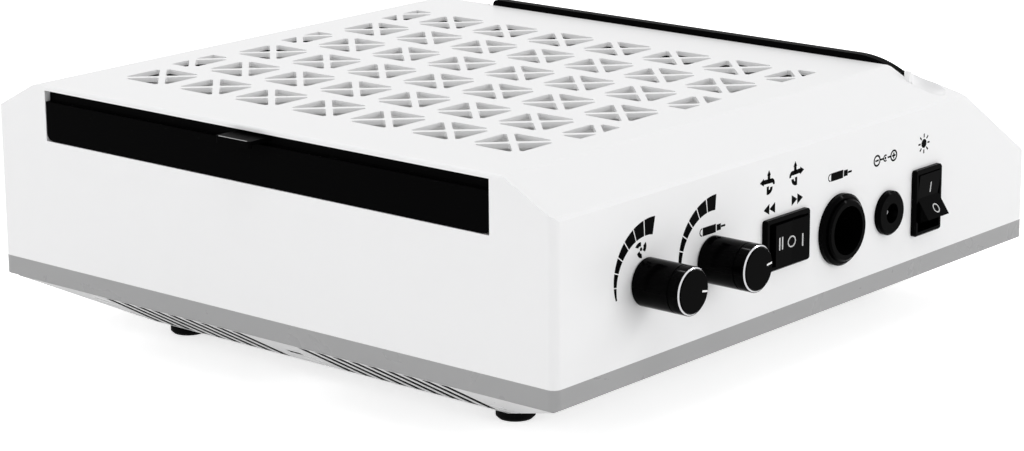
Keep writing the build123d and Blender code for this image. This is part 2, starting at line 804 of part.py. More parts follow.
def make_capacitors():
    """Two smoothing capacitors on the inner side of the board."""
    back = half_width - wall - pot_can_depth - board_thickness
    middle_y = from_front((fan_knob_from_front + motor_knob_from_front) / 2)
    cans = []
    for side in (-1, 1):
        y = middle_y + side * (capacitor_radius + capacitor_gap / 2)
        line = Plane(origin=(back, y, knob_z), x_dir=(0, 1, 0), z_dir=(-1, 0, 0))
        can = post(capacitor_radius, 0, capacitor_height)
        cans.append(line * chamfer(can.edges().group_by(Axis.Z)[-1], part_gap))
    return Part() + cans


# Rocker switches, drawn on the panel frame with their length along x


def case_size(bezel):
    """Length and width of a switch's case under its bezel."""
    return bezel[0] - 2 * bezel_ledge, bezel[1] - 2 * bezel_ledge


def make_switch_case(bezel):
    """Bezel and hollow case of a miniature rocker switch."""
    length, width = case_size(bezel)
    case = extrude(RectangleRounded(*bezel, bezel_corner), amount=bezel_height)
    case = chamfer(case.edges().group_by(Axis.Z)[-1], bezel_height / 4)
    case += Pos(0, 0, -case_depth / 2) * Box(length, width, case_depth)
    hollow_low = -pivot_depth - paddle_hub - 2 * paddle_gap
    hollow = block((case_skin - length / 2, case_skin - width / 2, hollow_low),
                   (length / 2 - case_skin, width / 2 - case_skin, 2 * bezel_height))
    pin = Pos(0, 0, -pivot_depth) * Rot(90, 0, 0) * Cylinder(paddle_pin + running_gap, bezel[1])
    return case - hollow - pin


def make_paddle(bezel, level, vee, tilt):
    """Rocker paddle with a shallow vee at this height over its pin, about which it is turned."""
    length, width = case_size(bezel)
    side = length / 2 - case_skin - paddle_end_gap
    face = side - paddle_undercut
    reach = face * math.cos(math.radians(vee))
    rise = level + face * math.sin(math.radians(vee))
    outline = Polygon(
        (0, level), (reach, rise), (side, paddle_shoulder), (paddle_hub, 0),
        (-paddle_hub, 0), (-side, paddle_shoulder), (-reach, rise), align=None,
    )
    outline += Circle(paddle_hub)
    half = width / 2 - case_skin - paddle_gap
    paddle = extrude(Plane.XZ * outline, amount=half, both=True)
    paddle += Rot(90, 0, 0) * Cylinder(paddle_pin, width - case_skin)
    return Pos(0, 0, -pivot_depth) * Rot(0, tilt, 0) * paddle


def make_terminals(bezel, columns, rows):
    """Tab terminals out of the back of a switch case."""
    wide, thick, long = tab_terminal
    tabs = []
    for column in range(columns):
        for row in range(rows):
            x = (column - (columns - 1) / 2) * (wide + terminal_gap)
            y = (row - (rows - 1) / 2) * case_size(bezel)[1] / 2
            tabs.append(block((x - wide / 2, y - thick / 2, -case_depth - long),
                              (x + wide / 2, y + thick / 2, -case_depth)))
    return tabs


# Sockets, drawn on the panel frame with z pointing out


def make_motor_socket():
    """Round handpiece socket: flange, raised collar and threaded barrel."""
    flange = post(socket_flange_radius, 0, socket_flange_height)
    flange = chamfer(flange.edges().group_by(Axis.Z)[-1], socket_flange_height / 3)
    socket = Part() + flange + post(socket_collar_radius, 0, socket_collar_height)
    rim = socket.edges().filter_by(GeomType.CIRCLE).group_by(Axis.Z)[-1]
    socket = chamfer(rim, socket_collar_height / 6)
    socket += post(socket_barrel_radius, -wall - socket_barrel_depth, 0)
    return socket - post(socket_bore, -wall - socket_barrel_depth, socket_collar_height)


def make_socket_insert():
    """Insert with the contact holes and a locating key at the bottom of the socket."""
    low_z = -wall - socket_barrel_depth
    high_z = socket_collar_height - socket_recess
    insert = post(socket_bore - screw_fit / 2, low_z, high_z)
    for hole in range(socket_pin_holes):
        angle = math.radians((hole - (socket_pin_holes - 1) / 2) * socket_pin_step - 90)
        insert -= post(socket_pin_hole, high_z - socket_pin_depth, high_z,
                       socket_pin_circle * math.cos(angle), socket_pin_circle * math.sin(angle))
    key_width, key_depth = socket_key
    return insert - block((-key_width / 2, 0, high_z - key_depth), (key_width / 2, socket_bore, high_z))


def make_power_jack():
    """Direct-current inlet: flange and barrel with a deep round mouth."""
    flange = post(jack_flange_radius, 0, jack_flange_height)
    jack = Part() + chamfer(flange.edges().group_by(Axis.Z)[-1], jack_flange_height / 3)
    jack += post(jack_barrel_radius, -wall - jack_barrel_depth, 0)
    jack -= post(jack_bore, -jack_pin_back, jack_flange_height)
    return jack - post(jack_pin_radius + screw_fit / 2, -wall - jack_barrel_depth, 0)


def make_jack_pin():
    """Centre contact of the inlet."""
    pin = post(jack_pin_radius, -wall - jack_barrel_depth - jack_pin_tail, 0)
    return chamfer(pin.edges().group_by(Axis.Z)[-1], jack_pin_radius / 2)


def panel_nut(radius):
    """Nut on a barrel of this radius, behind the flank."""
    return nut(nut_flats_ratio * radius, nut_height, radius + screw_fit / 2, -wall - nut_height)


# Fold-up lamp


def lamp_outline():
    """Side of the lamp blade in X and Z, folded down."""
    low = lamp_top_z - lamp_height
    blade = Polygon((lamp_left, low), (lamp_right, low), (lamp_right, lamp_top_z),
                    (lamp_left, lamp_top_z), align=None)
    blade = fillet(blade.vertices().sort_by(Axis.X)[:2], lamp_corner)
    tail = blade.vertices().sort_by_distance((lamp_right, low))[0]
    blade = fillet(tail, lamp_tail_radius)
    shoulder_x = lamp_right - lamp_end_run
    arc = Pos(shoulder_x, lamp_top_z - lamp_end_radius) * Circle(lamp_end_radius)
    plain = Polygon((lamp_left, low), (shoulder_x, low), (shoulder_x, lamp_top_z),
                    (lamp_left, lamp_top_z), align=None)
    return blade & (plain + arc)


def lens_box(thick, front, margin=0.0):
    """Block that fills part of the recess in the blade's front, counted from its front face."""
    low_z = lamp_top_z - lens_bezel - lens_height + margin
    left = lamp_left + lens_margin + margin
    right = lamp_pivot_x - 2 * lamp_boss_radius - margin
    return block((left, lamp_y + front, low_z),
                 (right, lamp_y + front + thick, lamp_top_z - lens_bezel - margin))


def lamp_recess():
    """Depth of the recess that takes the lens and the strip of diodes."""
    return lens_thickness + led_height + led_board_thickness


def make_lamp_case():
    """Black blade with a recess for the diode strip and a hole for its pin."""
    case = across_slot(lamp_outline(), lamp_y, lamp_y + lamp_thickness)
    case -= lens_box(lamp_recess(), 0)
    return case - lamp_bosses(lamp_y - 1, lamp_y + lamp_thickness + 1, lamp_pin_radius + running_gap)


def make_led_strip():
    """Circuit strip with a row of diodes."""
    board = lens_box(led_board_thickness, lens_thickness + led_height, part_gap / 2)
    middle_z = lamp_top_z - lens_bezel - lens_height / 2
    left = lamp_left + 2 * lens_margin
    right = lamp_pivot_x - 2 * lamp_boss_radius - lens_margin
    for step in range(led_count):
        x = left + step * (right - left) / (led_count - 1)
        face_y = lamp_y + lens_thickness
        board += block((x - led_size / 2, face_y, middle_z - led_size / 2),
                       (x + led_size / 2, face_y + led_height, middle_z + led_size / 2))
    return board


def make_lamp_pin():
    """Steel pin through the pocket's bosses and the blade."""
    slot_y = from_front(lamp_slot_from_front)
    reach = lamp_pocket_skin + lamp_boss_height
    return lamp_bosses(slot_y - reach, slot_y + lamp_slot_width + reach, lamp_pin_radius)


# Writing the pieces

fan_panel = panel(fan_knob_from_front, knob_z)
motor_panel = panel(motor_knob_from_front, knob_z)
direction_panel = panel(direction_switch_from_front, direction_switch_z)
lamp_switch_panel = panel(lamp_switch_from_front, lamp_switch_z, upright=True)
motor_socket_panel = panel(motor_socket_from_front, motor_socket_z)
power_panel = panel(power_jack_from_front, power_jack_z)

save("top_housing", make_top_housing())
save("base_tray", make_base_tray())
foot_names = ("front_right", "rear_right", "front_left", "rear_left")
for name, (foot_x, foot_y) in zip(foot_names, four_corners(foot_spread_x, foot_spread_y)):
    save(f"foot_{name}", make_foot(foot_x, foot_y))
save("housing_screws", make_housing_screws())

save("filter_frame", make_filter_frame())
save("filter_pleats", make_filter_pleats())
save("filter_guide", make_filter_guide())

save("air_funnel", make_funnel())
save("fan_frame", make_fan_frame())
save("fan_rotor", make_fan_rotor())
save("fan_shaft", make_fan_shaft())
save("fan_bush", make_fan_bush())
save("fan_stator", make_fan_stator())
save("fan_screws", make_fan_screws())

for name, place in (("fan", fan_panel), ("motor", motor_panel)):
    save(f"{name}_knob", place * make_knob())
    save(f"{name}_knob_ring", place * make_knob_ring())
    save(f"{name}_pot", place * make_pot())
    save(f"{name}_pot_shaft", place * make_pot_shaft())
pot_nut = nut(pot_nut_flats, pot_nut_height, bushing_radius + screw_fit / 2)
save("pot_nuts", Part() + [fan_panel * pot_nut, motor_panel * pot_nut])
save("control_board", make_board())
save("capacitors", make_capacitors())

save("direction_switch", direction_panel * make_switch_case(direction_bezel))
save("direction_rocker", direction_panel * make_paddle(
    direction_bezel, direction_paddle_level, direction_paddle_vee, 0))
direction_tabs = make_terminals(direction_bezel, 3, 2)
save("direction_terminals", Part() + [direction_panel * tab for tab in direction_tabs])
save("lamp_switch", lamp_switch_panel * make_switch_case(lamp_bezel))
save("lamp_rocker", lamp_switch_panel * make_paddle(
    lamp_bezel, lamp_paddle_level, lamp_paddle_vee, lamp_paddle_tilt))
lamp_tabs = make_terminals(lamp_bezel, 2, 1)
save("lamp_terminals", Part() + [lamp_switch_panel * tab for tab in lamp_tabs])

save("motor_socket", motor_socket_panel * make_motor_socket())
save("motor_socket_insert", motor_socket_panel * make_socket_insert())
save("motor_socket_nut", motor_socket_panel * panel_nut(socket_barrel_radius))
save("power_jack", power_panel * make_power_jack())
save("power_jack_pin", power_panel * make_jack_pin())
save("power_jack_nut", power_panel * panel_nut(jack_barrel_radius))

save("lamp_case", make_lamp_case())
save("lamp_lens", lens_box(lens_thickness, 0, part_gap / 2))
save("lamp_led_strip", make_led_strip())
save("lamp_pin", make_lamp_pin())
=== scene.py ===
import json
import math

import bmesh
import bpy
from mathutils import Matrix, Vector


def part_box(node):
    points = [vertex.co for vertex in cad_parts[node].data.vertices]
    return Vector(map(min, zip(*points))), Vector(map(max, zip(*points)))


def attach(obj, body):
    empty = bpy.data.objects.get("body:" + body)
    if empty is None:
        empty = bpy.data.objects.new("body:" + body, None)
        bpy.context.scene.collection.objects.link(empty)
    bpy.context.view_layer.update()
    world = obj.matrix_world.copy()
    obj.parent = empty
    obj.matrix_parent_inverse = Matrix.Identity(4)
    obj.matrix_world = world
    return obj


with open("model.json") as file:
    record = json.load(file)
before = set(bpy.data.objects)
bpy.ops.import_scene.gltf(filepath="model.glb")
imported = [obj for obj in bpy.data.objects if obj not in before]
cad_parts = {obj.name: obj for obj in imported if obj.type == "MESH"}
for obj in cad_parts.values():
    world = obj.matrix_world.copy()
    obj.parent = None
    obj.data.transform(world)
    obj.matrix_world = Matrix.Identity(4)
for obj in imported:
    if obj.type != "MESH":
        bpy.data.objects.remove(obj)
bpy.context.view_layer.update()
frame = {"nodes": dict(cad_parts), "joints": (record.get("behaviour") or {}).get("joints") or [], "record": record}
MM = 0.001
FLANK_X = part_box("top_housing")[1].x
joint_place = {j["name"]: Vector(j["pos_m"]) for j in frame["joints"] if "pos_m" in j}


# Helpers for objects and nodes


def link_object(name, data):
    """New object in the scene."""
    made = bpy.data.objects.new(name, data)
    bpy.context.scene.collection.objects.link(made)
    return made


def aimed(place, aim):
    """Placement of a camera or lamp that looks from one point at another."""
    turn = (Vector(aim) - Vector(place)).to_track_quat("-Z", "Y")
    return Matrix.Translation(place) @ turn.to_matrix().to_4x4()


def add_node(tree, kind, inputs, **settings):
    """Node with its settings; each input takes a value or another node's output."""
    made = tree.nodes.new(kind)
    for name, value in settings.items():
        setattr(made, name, value)
    for socket, value in inputs.items():
        if isinstance(value, bpy.types.NodeSocket):
            tree.links.new(value, made.inputs[socket])
        else:
            made.inputs[socket].default_value = value
    return made


def math_node(tree, operation, *values):
    """Output of a sum, comparison or the like."""
    return add_node(tree, "ShaderNodeMath", dict(enumerate(values)), operation=operation).outputs[0]


def map_range(tree, value, low, high, start=0.0, end=1.0, interpolation="LINEAR"):
    """Output that runs from low to high while the value runs from start to end."""
    inputs = {"Value": value, "From Min": start, "From Max": end, "To Min": low, "To Max": high}
    made = add_node(tree, "ShaderNodeMapRange", inputs, interpolation_type=interpolation)
    return made.outputs["Result"]


def scale_color(tree, color, level):
    """A colour times a level."""
    made = add_node(tree, "ShaderNodeVectorMath", {0: color, "Scale": level}, operation="SCALE")
    return made.outputs["Vector"]


def object_point(tree):
    """The object's own coordinates."""
    return add_node(tree, "ShaderNodeTexCoord", {}).outputs["Object"]


def object_noise(tree, scale, detail, distortion=0.0):
    """Noise over the object's own coordinates."""
    inputs = {"Vector": object_point(tree), "Scale": scale, "Detail": detail, "Distortion": distortion}
    return add_node(tree, "ShaderNodeTexNoise", inputs).outputs["Fac"]


# Camera: the photograph's viewing point, found from the straight edges of the housing

CAMERA_PLACE = (0.6203, -0.7332, 0.2843)
CAMERA_AIM = (0.0278, -0.0438, 0.0450)
CAMERA_ROLL = -0.48
CAMERA_LENS = 107.73
CAMERA_SENSOR = 36.0
CAMERA_CLIP = (0.05, 20.0)


def add_camera():
    """Camera with the photograph's place, aim, roll and lens."""
    data = bpy.data.cameras.new("camera")
    data.lens = CAMERA_LENS
    data.sensor_width = CAMERA_SENSOR
    data.clip_start, data.clip_end = CAMERA_CLIP
    camera = link_object("camera", data)
    roll = Matrix.Rotation(math.radians(CAMERA_ROLL), 4, "Z")
    camera.matrix_world = aimed(CAMERA_PLACE, CAMERA_AIM) @ roll
    bpy.context.scene.camera = camera


# Light and stage

# Place, aim, width, height and power of the soft boxes above, in front and beside the object, and of the
# two strips for the gloss on its blacks
LAMPS = {
    "top_box": ((0.35, -0.3, 1.35), (0, 0, 0), 0.8, 0.8, 3.2),
    "front_box": ((-0.6, -1.6, 0.6), (0, 0, 0.03), 1.0, 1.0, 9.6),
    "side_box": ((1.6, 0.4, 0.5), (0, 0, 0.03), 1.0, 1.0, 9.0),
    "upper_strip": ((-0.6, 0.22, 1.1), (0.12, 0, 0.05), 0.08, 0.4, 3.0),
    "rear_strip": ((0.56, 0.81, 0.82), (0.11, 0.02, 0.05), 0.06, 0.3, 1.0),
}
WHITE = (1.0, 1.0, 1.0, 1.0)
# Strength of the surroundings for the rays that light the object
WORLD_LIGHT = 0.46
FLOOR_HALF_SIZE = 4.0
FLOOR_COLOR = (0.93, 0.93, 0.93, 1.0)
FLOOR_ROUGHNESS = 0.7
# Strength of the table top's glow round the middle, and the distances between which it grows to full white
GLOW_NEAR = 0.66
GLOW_START = 0.15
GLOW_FULL = 0.8


def add_lamp(name, place, aim, width, height, power):
    """Rectangular lamp that shines from one point towards another."""
    data = bpy.data.lights.new(name, "AREA")
    data.shape = "RECTANGLE"
    data.size = width
    data.size_y = height
    data.energy = power
    link_object(name, data).matrix_world = aimed(place, aim)


def rays_that_show_white(tree):
    """The camera ray's output, and one of 1 for rays that come by a reflection or through glass."""
    path = add_node(tree, "ShaderNodeLightPath", {}).outputs
    mirrored = math_node(tree, "MAXIMUM", path["Is Glossy Ray"], path["Is Transmission Ray"])
    return path["Is Camera Ray"], mirrored


def light_world():
    """Even grey surroundings that show white behind the object and in reflections."""
    world = bpy.data.worlds.new("studio")
    world.use_nodes = True
    bpy.context.scene.world = world
    tree = world.node_tree
    background = tree.nodes["Background"]
    background.inputs["Color"].default_value = WHITE
    seen = math_node(tree, "MAXIMUM", *rays_that_show_white(tree))
    tree.links.new(map_range(tree, seen, WORLD_LIGHT, 1.0), background.inputs["Strength"])


def add_floor():
    """Table top that keeps a faint shadow, fades to white away from it and is white in reflections."""
    mesh = bpy.data.meshes.new("floor")
    bm = bmesh.new()
    bmesh.ops.create_grid(bm, x_segments=1, y_segments=1, size=FLOOR_HALF_SIZE)
    bm.to_mesh(mesh)
    bm.free()
    floor = link_object("floor", mesh)
    paint, tree, shader = new_material("table_top")
    shader.inputs["Base Color"].default_value = FLOOR_COLOR
    shader.inputs["Roughness"].default_value = FLOOR_ROUGHNESS
    shader.inputs["Emission Color"].default_value = WHITE
    distance = add_node(tree, "ShaderNodeVectorMath", {0: object_point(tree)}, operation="LENGTH")
    fade = map_range(tree, distance.outputs["Value"], GLOW_NEAR, 1.0, GLOW_START, GLOW_FULL, "SMOOTHSTEP")
    camera_ray, mirrored_ray = rays_that_show_white(tree)
    tree.links.new(math_node(tree, "MULTIPLY", fade, camera_ray), shader.inputs["Emission Strength"])
    plain_white = add_node(tree, "ShaderNodeEmission", {})
    inputs = {"Fac": mirrored_ray, 1: shader.outputs["BSDF"], 2: plain_white.outputs["Emission"]}
    finish = add_node(tree, "ShaderNodeMixShader", inputs)
    tree.links.new(finish.outputs["Shader"], tree.nodes["Material Output"].inputs["Surface"])
    mesh.materials.append(paint)


def light_stage():
    """World, lamps and table top."""
    light_world()
    for name, lamp in LAMPS.items():
        add_lamp(name, *lamp)
    bpy.context.scene.view_settings.view_transform = "Standard"
    add_floor()


# Materials

CLOUD_SCALE = 18.0
MARK_SCALE = 60.0
MARK_DISTORTION = 0.6
LINE_SCALE = 400.0
LINE_ROUGHNESS = (-0.08, 0.08)
LINE_TONE = (0.92, 1.06)


def new_material(name):
    """Material with nodes; returns it with its tree and shader."""
    paint = bpy.data.materials.new(name)
    paint.use_nodes = True
    return paint, paint.node_tree, paint.node_tree.nodes["Principled BSDF"]


def new_group(name, given, results):
    """Node group with its sockets' names and kinds; returns it with what it is given."""
    group = bpy.data.node_groups.new(name, "ShaderNodeTree")
    for way, sockets in (("INPUT", given), ("OUTPUT", results)):
        for socket, kind in sockets.items():
            group.interface.new_socket(name=socket, in_out=way, socket_type=f"NodeSocket{kind}")
    return group, group.nodes.new("NodeGroupInput").outputs


def build_moulding_group():
    """Node group for moulded plastic: cloudy tone, handling marks and a fine spark texture."""
    levels = ("Tone Change", "Mean Roughness", "Roughness Change", "Grain Scale", "Grain Depth")
    group, given = new_group("moulded_surface", {"Tone": "Color", **{name: "Float" for name in levels}},
                             {"Base Color": "Color", "Roughness": "Float", "Normal": "Vector"})
    cloud = math_node(group, "SUBTRACT", object_noise(group, CLOUD_SCALE, detail=3.0), 0.5)
    tone_level = math_node(group, "MULTIPLY_ADD", cloud, given["Tone Change"], 1.0)
    handled = object_noise(group, MARK_SCALE, detail=5.0, distortion=MARK_DISTORTION)
    marks = math_node(group, "SUBTRACT", handled, 0.5)
    roughness = math_node(group, "MULTIPLY_ADD", marks, given["Roughness Change"], given["Mean Roughness"])
    grain = {"Height": object_noise(group, given["Grain Scale"], detail=2.0),
             "Strength": 1.0, "Distance": given["Grain Depth"]}
    add_node(group, "NodeGroupOutput", {
        "Base Color": scale_color(group, given["Tone"], tone_level),
        "Roughness": roughness,
        "Normal": add_node(group, "ShaderNodeBump", grain).outputs["Normal"],
    })
    return group


def build_turning_group():
    """Node group for metal: faint turning lines in its tone and roughness."""
    group, given = new_group("turned_surface", {"Tone": "Color", "Mean Roughness": "Float"},
                             {"Base Color": "Color", "Roughness": "Float"})
    lines = object_noise(group, LINE_SCALE, detail=3.0)
    change = map_range(group, lines, *LINE_ROUGHNESS)
    add_node(group, "NodeGroupOutput", {
        "Base Color": scale_color(group, given["Tone"], map_range(group, lines, *LINE_TONE)),
        "Roughness": math_node(group, "ADD", given["Mean Roughness"], change),
    })
    return group


moulded_surface = build_moulding_group()
turned_surface = build_turning_group()


def covered_material(name, surface, inputs):
    """Material whose shader takes what a surface's node group puts out; returns it with its shader."""
    paint, tree, shader = new_material(name)
    for output in add_node(tree, "ShaderNodeGroup", inputs, node_tree=surface).outputs:
        tree.links.new(output, shader.inputs[output.name])
    return paint, shader


def moulded_plastic(name, tone, tone_change, roughness, roughness_change, grain_scale, grain_depth,
                    mirror=0.5):
    """Plastic straight from the mould; mirror is the strength of its clear reflection."""
    paint, shader = covered_material(name, moulded_surface, {
        "Tone": (*tone, 1.0), "Tone Change": tone_change,
        "Mean Roughness": roughness, "Roughness Change": roughness_change,
        "Grain Scale": grain_scale, "Grain Depth": grain_depth,
    })
    shader.inputs["Specular IOR Level"].default_value = mirror
    return paint


def metal(name, tone, roughness):
    """Plated or turned metal."""
    inputs = {"Tone": (*tone, 1.0), "Mean Roughness": roughness}
    paint, shader = covered_material(name, turned_surface, inputs)
    shader.inputs["Metallic"].default_value = 1.0
    return paint


# Tone and its change, roughness and its change, grain's scale and depth, strength of the clear reflection
PLASTICS = {
    "white_shell": ((0.86, 0.86, 0.865), 0.02, 0.38, 0.1, 1800.0, 0.00001),
    # The grey base gets painted light on its slopes and painted shade in its slots further down
    "grey_base": ((0.34, 0.34, 0.343), 0.05, 0.28, 0.06, 1800.0, 0.00002),
    "black_plastic": ((0.0008, 0.0008, 0.0009), 0.3, 0.13, 0.04, 2200.0, 0.000002, 0.02),
    "dull_black": ((0.0015, 0.0015, 0.0016), 0.3, 0.4, 0.06, 2200.0, 0.00001, 0.008),
    "black_rubber": ((0.002, 0.002, 0.002), 0.3, 0.75, 0.1, 1500.0, 0.00004, 0.05),
    "filter_paper": ((0.88, 0.88, 0.875), 0.06, 0.9, 0.05, 3500.0, 0.0001),
    "guide_plastic": ((0.7, 0.7, 0.71), 0.04, 0.5, 0.1, 1500.0, 0.00002),
    "board_green": ((0.03, 0.2, 0.08), 0.1, 0.3, 0.1, 900.0, 0.00002),
    "clear_lens": ((0.8, 0.81, 0.82), 0.02, 0.4, 0.05, 2000.0, 0.00001),
    "led_strip": ((0.8, 0.8, 0.74), 0.05, 0.4, 0.1, 900.0, 0.00002),
    # The black print also serves as painted shade in the screws' cross recesses
    "black_print_and_shade": ((0.001, 0.001, 0.001), 0.2, 0.5, 0.1, 2500.0, 0.000005, 0.02),
    "white_print": ((0.85, 0.85, 0.85), 0.02, 0.5, 0.1, 2500.0, 0.000005),
    # The grey print also serves as a painted highlight on the edge of the drawer's tab
    "grey_print_and_highlight": ((0.55, 0.55, 0.55), 0.05, 0.5, 0.1, 2500.0, 0.000005),
}
# Tone and roughness
METALS = {
    # The bright ring's front gets painted shade further down
    "bright_ring": ((0.72, 0.72, 0.74), 0.22),
    "steel": ((0.6, 0.6, 0.62), 0.35),
    "brass": ((0.72, 0.55, 0.26), 0.35),
    "aluminium_can": ((0.72, 0.73, 0.75), 0.35),
    "winding": ((0.55, 0.24, 0.1), 0.4),
}
paints = {name: moulded_plastic(name, *look) for name, look in PLASTICS.items()}
paints.update({name: metal(name, *look) for name, look in METALS.items()})
PAINT_OF_NODE = {"filter_frame": "dull_black", "lamp_case": "dull_black"}

# In millimetres; the depth of the rings' painted shade, and a slope's points as their distance from the tray's
# middle and their height
RING_SHADE_DEPTH = 0.3
SLOPE_TOP = (118.6, 18.5)
SLOPE_FOOT = (94.9, 4.7)
LOUVRES_REACH = 73.5
SLOT_LIP = 0.12
# Painted light on the slopes, and painted shade inside their slots, as factors on their tone
SLOPE_PAINTED_LIGHT = 1.7
SLOT_SHADE = 0.03


def object_axes(tree):
    """X, Y and Z of the object's own coordinates."""
    return add_node(tree, "ShaderNodeSeparateXYZ", {"Vector": object_point(tree)}).outputs


def scale_paint(paint, level):
    """Multiplies a material's colour by a level."""
    tree = paint.node_tree
    base = tree.nodes["Principled BSDF"].inputs["Base Color"]
    tree.links.new(scale_color(tree, base.links[0].from_socket, level), base)


def paint_shade_on_ring_front(paint):
    """Paints shade on the front of the knobs' rings: turns it black, so that only a thin line at their rear
    shines.
    """
    tree = paint.node_tree
    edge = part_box("fan_knob_ring")[1].x - RING_SHADE_DEPTH * MM
    scale_paint(paint, math_node(tree, "LESS_THAN", object_axes(tree)["X"], edge))


def paint_louvre_light_and_shade(paint):
    """Paints light on the tray's front and rear slopes, standing for what the table they face throws back onto
    them, and paints shade inside their slots.
    """
    tree = paint.node_tree
    axes = object_axes(tree)
    low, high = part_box("base_tray")
    across = math_node(tree, "ABSOLUTE", math_node(tree, "SUBTRACT", axes["X"], (low.x + high.x) / 2))
    along = math_node(tree, "ABSOLUTE", math_node(tree, "SUBTRACT", axes["Y"], (low.y + high.y) / 2))
    steepness = (SLOPE_TOP[1] - SLOPE_FOOT[1]) / (SLOPE_TOP[0] - SLOPE_FOOT[0])
    start = (SLOPE_TOP[1] - SLOPE_TOP[0] * steepness) * MM
    slope = math_node(tree, "MULTIPLY_ADD", along, steepness, start)
    surface = math_node(tree, "MAXIMUM", slope, SLOPE_FOOT[1] * MM)
    behind = math_node(tree, "SUBTRACT", axes["Z"], surface)
    below_top = math_node(tree, "LESS_THAN", axes["Z"], SLOPE_TOP[1] * MM)
    beyond_foot = math_node(tree, "GREATER_THAN", along, SLOPE_FOOT[0] * MM)

    inside = math_node(tree, "GREATER_THAN", behind, SLOT_LIP * MM)
    near = math_node(tree, "LESS_THAN", across, LOUVRES_REACH * MM)
    dark = math_node(tree, "MULTIPLY", math_node(tree, "MULTIPLY", inside, near), below_top)
    outside = math_node(tree, "LESS_THAN", behind, SLOT_LIP * MM)
    light = math_node(tree, "MULTIPLY", math_node(tree, "MULTIPLY", outside, beyond_foot), below_top)
    lifted = math_node(tree, "MULTIPLY_ADD", light, SLOPE_PAINTED_LIGHT - 1.0, 1.0)
    scale_paint(paint, math_node(tree, "MULTIPLY_ADD", dark, SLOT_SHADE - 1.0, lifted))


def paint_nodes():
    """Gives every CAD node the finish of its material slot."""
    paint_shade_on_ring_front(paints["bright_ring"])
    paint_louvre_light_and_shade(paints["grey_base"])
    slots = {entry["node"]: entry["material_slot"] for entry in frame["record"]["subparts"]}
    for name, part in frame["nodes"].items():
        part.data.materials.clear()
        part.data.materials.append(paints[PAINT_OF_NODE.get(name, slots[name])])


# Small pieces, drawn flat in millimetres and then thickened

PRINT_DEPTH = 0.06
PRINT_SINK = 0.03
WELD_DISTANCE = 1e-4
FACE_ORDER = Vector((1.0, 0.618, 0.382))


def move_new(bm, verts, place, turn=0.0, stretch=(1.0, 1.0)):
    """Stretches, turns and moves the points of a shape that was just made."""
    bmesh.ops.scale(bm, vec=(*stretch, 1.0), verts=verts)
    bmesh.ops.rotate(bm, cent=(0, 0, 0), matrix=Matrix.Rotation(math.radians(turn), 3, "Z"), verts=verts)
    bmesh.ops.translate(bm, vec=(*place, 0.0), verts=verts)


def add_bar(bm, place, width, height, turn=0.0):
    """Flat rectangle."""
    made = bmesh.ops.create_grid(bm, x_segments=1, y_segments=1, size=0.5)
    move_new(bm, made["verts"], place, turn, (width, height))


def add_disc(bm, place, radius, corners, turn=0.0):
    """Flat disc, or a triangle when it has three corners."""
    made = bmesh.ops.create_circle(bm, cap_ends=True, segments=corners, radius=radius)
    move_new(bm, made["verts"], place, turn)


def add_arc(bm, place, inner, outer, start, end, steps, stretch=(1.0, 1.0)):
    """Flat strip bent round a point; inner and outer are pairs of radii, at its start and at its end."""
    made = bmesh.ops.create_grid(bm, x_segments=steps, y_segments=1, size=0.5)
    for vert in made["verts"]:
        share = vert.co.x + 0.5
        edge = outer if vert.co.y > 0 else inner
        radius = edge[0] + share * (edge[1] - edge[0])
        angle = math.radians(start + share * (end - start))
        vert.co = (radius * math.cos(angle), radius * math.sin(angle), 0.0)
    if abs(end - start) >= 360:
        bmesh.ops.remove_doubles(bm, verts=made["verts"], dist=WELD_DISTANCE)
    verts = [v for v in made["verts"] if v.is_valid]
    move_new(bm, verts, place, 0.0, stretch)


def add_ring(bm, place, inner, outer, corners, stretch=(1.0, 1.0)):
    """Flat closed ring."""
    add_arc(bm, place, (inner, inner), (outer, outer), 0, 360, corners, stretch)


def thicken(bm, depth):
    """Gives a flat drawing its thickness, from its own plane up, and its faces a fixed order."""
    sheet = bmesh.ops.extrude_face_region(bm, geom=bm.faces[:])
    raised = [item for item in sheet["geom"] if isinstance(item, bmesh.types.BMVert)]
    bmesh.ops.translate(bm, vec=(0, 0, depth), verts=raised)
    bm.faces.sort(key=lambda face: face.calc_center_median().dot(FACE_ORDER))


def finish_print(bm, name, body, slot, place):
    """Turns a flat drawing in millimetres into a thin print that rides on a body."""
    thicken(bm, PRINT_DEPTH)
    bmesh.ops.transform(bm, matrix=place @ Matrix.Scale(MM, 4), verts=bm.verts)
    bmesh.ops.recalc_face_normals(bm, faces=bm.faces)
    mesh = bpy.data.meshes.new(name)
    bm.to_mesh(mesh)
    bm.free()
    mesh.materials.append(paints[slot])
    piece = link_object(name, mesh)
    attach(piece, body)


def flank_place(point):
    """Place of a drawing on the right flank: its x runs back, its y up and its z out."""
    turn = Matrix(((0, 0, 1, 0), (1, 0, 0, 0), (0, 1, 0, 0), (0, 0, 0, 1)))
    return Matrix.Translation(point) @ turn


def print_on_flank(bm, name, y, z):
    """Thin black print on the flank, its drawing centred on a point given in metres."""
    finish_print(bm, name, "housing", "black_print_and_shade", flank_place((FLANK_X - PRINT_SINK * MM, y, z)))


# Segmented scales round the knobs; angles in degrees, the rest in millimetres

SCALE_SEGMENTS = 7
SCALE_GAP = 1.3
SCALE_STEPS = 4
SCALES = {
    "fan_scale": {"joint": "fan_speed", "start": 191.5, "end": 78.1,
                  "inner": 13.5, "thin": 14.1, "thick": 18.8},
    "motor_scale": {"joint": "motor_speed", "start": 190.0, "end": 84.2,
                    "inner": 14.5, "thin": 15.3, "thick": 19.2},
}


